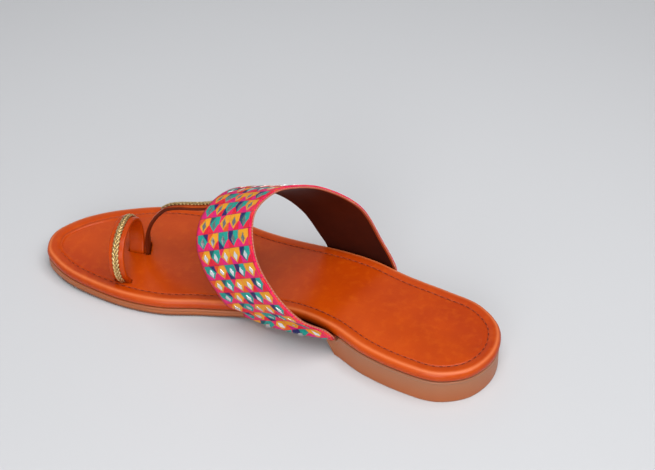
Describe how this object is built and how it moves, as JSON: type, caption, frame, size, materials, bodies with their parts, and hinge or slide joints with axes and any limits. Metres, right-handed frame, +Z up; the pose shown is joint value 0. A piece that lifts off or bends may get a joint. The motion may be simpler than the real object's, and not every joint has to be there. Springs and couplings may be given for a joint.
{
  "type": "kolhapuri sandal",
  "caption": "Flat open sandal for a right foot: padded footbed on a low-heeled rubber sole, wide embroidered instep band, narrow toe strap and a loop round the big toe.",
  "frame": {"origin": "on the floor, under the middle of the sandal's box", "axes": "+Y from heel to toe, +X to the little toe's side, +Z up"},
  "size_m": [0.0816, 0.2526, 0.0783],
  "materials": {
    "outsole": "smooth tan crepe-like rubber, slightly see-through at its edges",
    "footbed": "smooth tan leather over thin padding, rolled rim, stitched groove",
    "band": "bright thread embroidery with small mirror diamonds, on a tan leather lining",
    "strap": "smooth tan leather with folded edges",
    "braid": "plaited gilt metallic thread"
  },
  "bodies": {
    "root": {"outsole": "outsole", "footbed": "footbed", "upper": "band", "toe_loop": "strap", "toe_loop_braid": "braid", "toe_strap_braid": "braid"}
  },
  "joints": []
}
